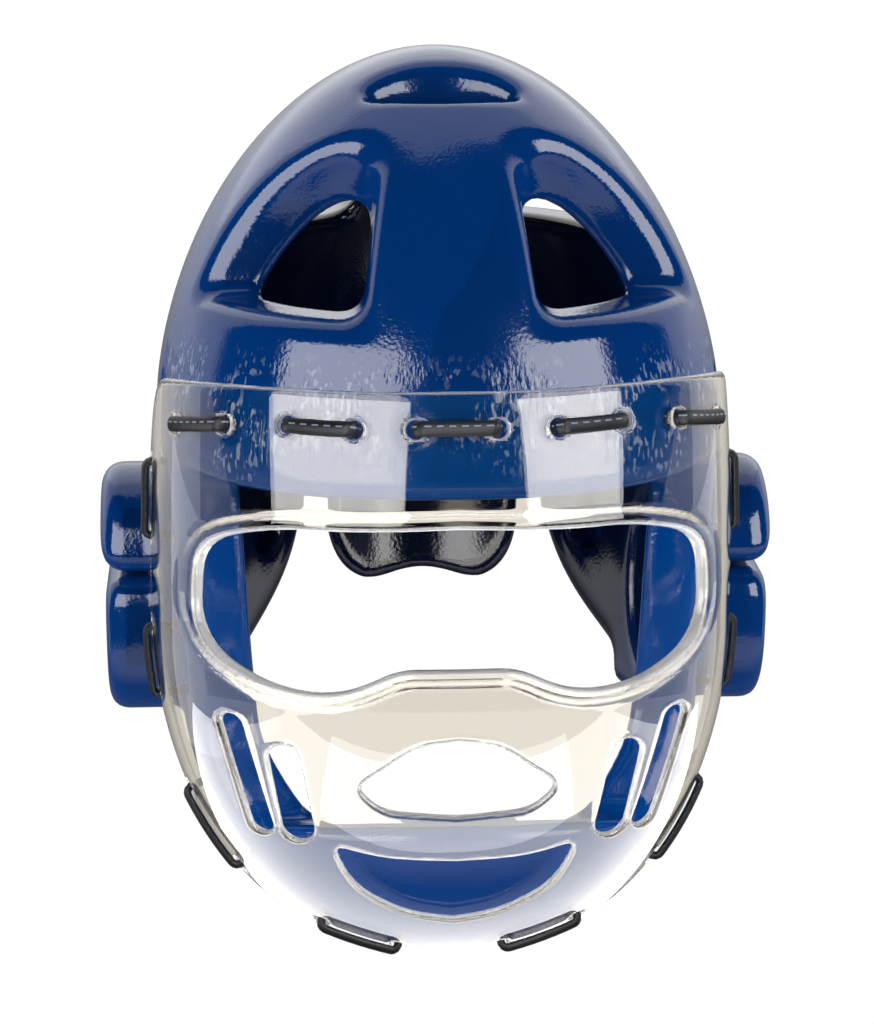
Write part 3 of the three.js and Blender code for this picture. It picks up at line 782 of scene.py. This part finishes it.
# %% The whole foam
RIM = 7.0
FOAM_STEP = 2.0
PRESS = 0.5
DIMPLE_DEPTH, DIMPLE_WIDTH = 1.8, 2.6


def foam_field(x, y, z):
    """Shell and ear pads joined, hollowed and cut; the same left and right."""
    x = np.abs(x)
    field = join_soft(head_form(x, y, z), ear_pad(x, y, z), 8)
    field = np.maximum(field, -head_form(x, y, z, SIDE_WALL, FRONT_WALL, CROWN_WALL))
    field = cut_soft(field, -ear_hollow(x, y, z), 5)
    spare = 0.35 * np.maximum(z - 37, 0)
    mask_room = np.maximum(spare - mask_form(x, y, z, MASK_SHEET + PRESS), np.maximum(y + 26, z - 60))
    field = cut_soft(field, -mask_room, 2)
    for opening in (face_opening(y, z), below_the_rim(y, z), front_vent(x, y, z), rear_vent(x, y, z),
                    crown_vent(x, y, z), side_vent(x, y, z), flap_gap(x, y, z)):
        field = cut_soft(field, -opening, RIM)
    return field + DIMPLE_DEPTH * np.exp(-0.5 * (hole_distance(x, y, z) / DIMPLE_WIDTH) ** 2)


def pressed_place(x, y, z):
    """Under the mask and just above its upper edge: near its inner form, in front of the ears."""
    near_mask = np.clip(1.5 - np.abs(mask_form(x, y, np.minimum(z, 40), MASK_SHEET + PRESS)) / 3, 0, 1)
    below_top = np.clip((56 - z) / 14, 0, 1)
    above_foot = np.clip((z + 10) / 14, 0, 1)
    before_ears = np.clip((-20 - y) / 10, 0, 1)
    return near_mask * below_top * above_foot * before_ears


def painted_shade_place(x, y, z):
    """Where shade is painted into the hollow: well behind the outer form and towards the rear of the hollow.
    """
    return np.clip((-head_form(x, y, z) - 7) / 5, 0, 1) * np.clip((y + 20) / 60, 0, 1)


# The "inside" attribute marks where shade is painted into the hollow
foam = field_piece("foam_head_guard", foam_field, (-126, -126, -182), (126, 130, 144), FOAM_STEP, skin,
                   {"pressed": pressed_place, "inside": painted_shade_place})
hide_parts("foam_shell", "ear_pad_left", "ear_pad_right")

# %% [markdown]
# ## The clear mask
#
# Clear polycarbonate lets nearly all light through and shows a faint warm tint over white. Its real index is
# 1.58. Here it is 1.5, with which the veil of reflections has the strength that the photograph shows. The
# sheet has a turned-in lip around the eye opening and rounded rims everywhere, which catch the light as
# bright lines. A Solidify modifier could give it its wall, but the lip and the rims would need geometry of
# their own, so the sheet is one more field between two forms.

# %% Openings in the mask, in the front view


def mirrored_outline(half):
    """A whole outline from its right half, whose first and last rows lie on the middle line."""
    other = [(-across, up_, radius) for across, up_, radius in half[::-1] if across > 0]
    return rounded_outline(half + other)


EYE = mirrored_outline([(0, -3, 0), (62, -5, 20), (86, -15, 22), (88, -50, 26), (61, -59.5, 12),
                        (39, -59.5, 16), (19.5, -50, 6), (0, -50, 0)])
MOUTH = mirrored_outline([(0, -75, 0), (13.5, -76.6, 16), (34, -92.3, 5), (25, -100.8, 10), (0, -102.7, 0)])
CHIN = mirrored_outline([(0, -122, 0), (24, -121, 20), (41.3, -117, 5), (34, -134.4, 14), (15.5, -145.8, 14),
                         (0, -148.8, 0)])
# Columns: across and height of the top, across and height of the foot, half width
SLOTS = [(75.3, -76, 65.4, -112.5, 3.5), (57.8, -85, 53.4, -111, 5.25)]


def slot_distance(x, z):
    """Distance to a slot: to its middle line, less half its width."""
    nearest = np.full(x.shape, 1e3)
    for top_x, top_z, foot_x, foot_z, half_width in SLOTS:
        edge = (top_x - foot_x, top_z - foot_z)
        share = ((x - foot_x) * edge[0] + (z - foot_z) * edge[1]) / (edge[0] ** 2 + edge[1] ** 2)
        share = np.clip(share, 0, 1)
        gap = np.hypot(x - foot_x - share * edge[0], z - foot_z - share * edge[1]) - half_width
        nearest = np.minimum(nearest, gap)
    return nearest


LIP_WIDTH, LIP_DEPTH, LIP_ROUND = 4.5, 2.5, 2.5
MASK_ROUND = 1.3
MASK_STEP = 1.25
LACE_HOLE = 3.2

# The field is worked out only within this many millimetres of the sheet's inner face
FAR = 9.0


def mask_field(x, y, z):
    """A sheet between two forms, with its lip joined and its openings cut."""
    x = np.abs(x)
    field, way_x, way_z = mask_form(x, y, z, way=True)
    near = (np.abs(field + MASK_SHEET) < FAR) & (y < -15)
    x, y, z, outer = x[near], y[near], z[near], field[near]
    inner = mask_form(x, y, z, MASK_SHEET)
    hole_gap = hole_distance(x, y, z)
    sheet = cut_soft(outer, -inner, 0.6)
    sheet = cut_soft(sheet, outline_distance(MASK_EDGE, y, z), MASK_ROUND * 2)
    x, z = x - outer * way_x[near], z - outer * way_z[near]
    eye_gap = outline_distance(EYE, x, z)
    lip = cut_soft(np.maximum(outer + 0.5, -outer - MASK_SHEET - LIP_DEPTH), eye_gap - LIP_WIDTH, LIP_ROUND)
    sheet = join_soft(sheet, lip, LIP_ROUND)
    opening = np.minimum(np.minimum(eye_gap, slot_distance(x, z)), np.minimum(
        outline_distance(MOUTH, x, z), outline_distance(CHIN, x, z)))
    sheet = cut_soft(sheet, -opening, MASK_ROUND * 2)
    sheet = cut_soft(sheet, LACE_HOLE - hole_gap, MASK_ROUND)
    field = np.full(field.shape, FAR)
    field[near] = sheet
    return field


# %% Clear polycarbonate
SHEET_TINT = "#e2dbce"
SHEET_IOR = 1.5
clear, tree, out = new_material("clear_polycarbonate")
shader = add_node(tree, "ShaderNodeBsdfPrincipled", inputs={
    "Base Color": hex_colour(SHEET_TINT), "Roughness": 0.02, "IOR": SHEET_IOR, "Transmission Weight": 1.0})
tree.links.new(shader.outputs[0], out.inputs["Surface"])

mask = field_piece("clear_face_mask", mask_field, (-108, -134, -173), (108, -22, 44), MASK_STEP, clear)
mask.visible_shadow = False
veiled.objects.link(mask)

# %% [markdown]
# Where the sheet is cut, the polished edge and the bends beside it gather light and look white. An attribute,
# "edge", grows from 0 on the flat sheet to 1 where the surface stands square to it, and the faces that it
# reaches get a second material that turns milky white by that much, a painted highlight for that gathered
# light, so that no border shows between the two.

# %% Cut edges
# Painted highlight: the milky white that stands in for the light that the cut edges and bends gather
EDGE_PAINTED_HIGHLIGHT = "#f6f7f8"

# The cosine between the surface and the sheet at which an edge begins, and how much lower it is all edge
EDGE_BEGINS, EDGE_SPAN = 0.94, 0.34
edge_material, tree, out = new_material("plastic_edge_painted_highlight")
edge = add_node(tree, "ShaderNodeAttribute", {"attribute_name": "edge"})
shader = add_node(tree, "ShaderNodeBsdfPrincipled", inputs={
    "Base Color": mix_colour(edge.outputs["Fac"], hex_colour(SHEET_TINT), hex_colour(EDGE_PAINTED_HIGHLIGHT)),
    "Roughness": 0.03, "IOR": SHEET_IOR,
    "Transmission Weight": ramp(edge.outputs["Fac"], 0.0, 1.0, 1.0, 0.2)})
tree.links.new(shader.outputs[0], out.inputs["Surface"])
mask.data.materials.append(edge_material)
spots = np.empty(len(mask.data.vertices) * 3, np.float32)
mask.data.vertices.foreach_get("co", spots)
spots = (spots.reshape(-1, 3) / MM - np.array([0, REST_SLIDE, REST_DROP])) @ TURN
ways = slope_of(mask_field, spots)
ways /= np.linalg.norm(ways, axis=1, keepdims=True) + 1e-9
_, sheet_x, sheet_z = mask_form(*spots.T, way=True)
sheet_y = -np.sqrt(np.maximum(0, 1 - sheet_x ** 2 - sheet_z ** 2))
facing = np.abs(ways[:, 0] * sheet_x * np.sign(spots[:, 0]) + ways[:, 1] * sheet_y + ways[:, 2] * sheet_z)
edge_share = np.clip((EDGE_BEGINS - facing) / EDGE_SPAN, 0, 1)
write_place(mask.data, "edge", edge_share)
corner = np.empty(len(mask.data.loops), np.int32)
mask.data.loops.foreach_get("vertex_index", corner)
at_edge = (edge_share[corner].reshape(-1, 4) > 0).any(axis=1)
mask.data.polygons.foreach_set("material_index", at_edge.astype(np.int32))
print(int(at_edge.sum()), "of", len(at_edge), "faces are at a cut edge")

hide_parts("face_mask")

# %% [markdown]
# ## The laces
#
# Each lace is a flat black cord with a smooth finish and a pale stitched line along it. A stretch comes out
# of one hole, lies along the mask and goes into the next. The cord is held all the way, so nothing of it
# hangs: its section is a flattened circle carried along that path. Its own UV map runs along it in
# millimetres and across it from -1 to 1, which is where the stitches and the slight weave are drawn.

# %% Lace cord
LACE_BLACK, STITCH_PALE = "#07080d", "#8d99b3"
STITCHES_IN_A_MM, STITCH_SHARE = 0.25, 0.55
STITCH_LINE, STITCH_HALF = 0.3, 0.1
lace_material, tree, out = new_material("black_stitched_lace")
place = add_node(tree, "ShaderNodeUVMap")
weave = add_node(tree, "ShaderNodeTexWave", {"wave_type": "BANDS", "bands_direction": "DIAGONAL"}, {
    "Vector": place.outputs[0], "Scale": 1.6, "Distortion": 0.4})
split = add_node(tree, "ShaderNodeSeparateXYZ", inputs={"Vector": place.outputs[0]})
dash = add_node(tree, "ShaderNodeMath", {"operation": "FRACT"}, {
    0: times(split.outputs["X"], STITCHES_IN_A_MM)})
dash_on = add_node(tree, "ShaderNodeMath", {"operation": "LESS_THAN"}, {0: dash.outputs[0], 1: STITCH_SHARE})
on_line = add_node(tree, "ShaderNodeMath", {"operation": "COMPARE"}, {
    0: split.outputs["Y"], 1: STITCH_LINE, 2: STITCH_HALF})
stitch = times(dash_on.outputs[0], on_line.outputs[0])
lace_bump = add_node(tree, "ShaderNodeBump", inputs={
    "Height": weave.outputs["Fac"], "Strength": 0.5, "Distance": 0.0003})
shader = add_node(tree, "ShaderNodeBsdfPrincipled", inputs={
    "Base Color": mix_colour(stitch, hex_colour(LACE_BLACK), hex_colour(STITCH_PALE)), "Roughness": 0.34,
    "Specular IOR Level": 0.4, "Normal": lace_bump.outputs[0]})
tree.links.new(shader.outputs[0], out.inputs["Surface"])

LACE_HALF_WIDTH, LACE_HALF_HEIGHT = 2.6, 1.4
LACE_DEPTH, LACE_LIFT, LACE_BEND = 12, 1.9, 2.3
LACE_SIDES, LACE_STEPS, HOLE_STEPS = 16, 41, 8


def lace_path(lace):
    """Points along a lace and the way out of the mask at each: up one hole, along, and down the next."""
    (from_angle, from_z), (to_angle, to_z) = lace
    ends = mask_point(np.array([from_angle, to_angle]), np.array([from_z, to_z], float))
    length = np.linalg.norm(ends[1] - ends[0])
    share = np.linspace(0, 1, LACE_STEPS)
    angle = from_angle + (to_angle - from_angle) * share
    z = from_z + (to_z - from_z) * share
    travel = share * length
    turn = np.clip(np.minimum(travel, length - travel) / LACE_BEND, 0, 1)
    lift = LACE_LIFT * np.sqrt(1 - (1 - turn) ** 2) - 0.35 * (1 - turn)
    over = mask_point(angle, z) + mask_normal(angle, z) * lift[:, None]
    down = np.linspace(LACE_DEPTH, 0.8, HOLE_STEPS)[:, None]
    ways = mask_normal(angle, z)
    path = np.concatenate([over[0] - ways[0] * down, over, over[-1] - ways[-1] * down[::-1]])
    outward = np.concatenate([np.repeat(ways[:1], HOLE_STEPS, 0), ways, np.repeat(ways[-1:], HOLE_STEPS, 0)])
    return path, outward


def lace_piece(name, lace):
    """A flattened circle carried along the lace's path, closed at both ends."""
    path, outward = lace_path(lace)
    along = np.gradient(path, axis=0)
    along /= np.linalg.norm(along, axis=1, keepdims=True)
    whole = path[-1] - path[0]
    side = np.cross(outward, whole)
    side /= np.linalg.norm(side, axis=1, keepdims=True)
    top = np.cross(along, side)
    top *= np.sign((np.cross(whole, side) * outward).sum(1, keepdims=True))
    turn = np.linspace(0, 2 * np.pi, LACE_SIDES, endpoint=False)
    ring = (LACE_HALF_WIDTH * np.cos(turn)[:, None, None] * side
            + LACE_HALF_HEIGHT * np.sin(turn)[:, None, None] * top)
    points = (path + ring).transpose(1, 0, 2)
    count = len(path)
    row, column = np.meshgrid(np.arange(count - 1) * LACE_SIDES, np.arange(LACE_SIDES), indexing="ij")
    following = (column + 1) % LACE_SIDES
    faces = np.stack([row + column, row + following, row + LACE_SIDES + following, row + LACE_SIDES + column],
                     axis=-1).reshape(-1, 4)
    travelled = np.concatenate([[0], np.cumsum(np.linalg.norm(np.diff(path, axis=0), axis=1))])

    # The underside gets 4 more across, which keeps the stitches off it
    across = np.cos(turn) + 4 * (np.sin(turn) < 0)
    uv_points = np.stack(np.meshgrid(travelled, across, indexing="ij"), axis=-1).reshape(-1, 2)
    mesh = bpy.data.meshes.new(name)
    caps = [list(range(LACE_SIDES))[::-1], list(range((count - 1) * LACE_SIDES, count * LACE_SIDES))]
    mesh.from_pydata(to_table(points.reshape(-1, 3)).tolist(), [], faces.tolist() + caps)
    mesh.polygons.foreach_set("use_smooth", [True] * len(mesh.polygons))
    corner = np.empty(len(mesh.loops), np.int32)
    mesh.loops.foreach_get("vertex_index", corner)
    uv_map = mesh.uv_layers.new(name="along_the_lace")
    uv_map.data.foreach_set("uv", uv_points[corner].astype(np.float32).ravel())
    mesh.materials.append(lace_material)
    piece = bpy.data.objects.new(name, mesh)
    bpy.context.scene.collection.objects.link(piece)
    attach(piece, "root")
    return piece


all_laces = [CENTRE_LACE]
for (start_angle, start_z), (end_angle, end_z) in SIDE_LACES:
    all_laces.append([(-end_angle, end_z), (-start_angle, start_z)])
    all_laces.append([(start_angle, start_z), (end_angle, end_z)])
for number, lace in enumerate(all_laces, 1):
    piece = lace_piece(f"stitched_lace_{number:02d}", lace)
    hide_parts(f"lace_{number:02d}")
print(len(all_laces), "laces")
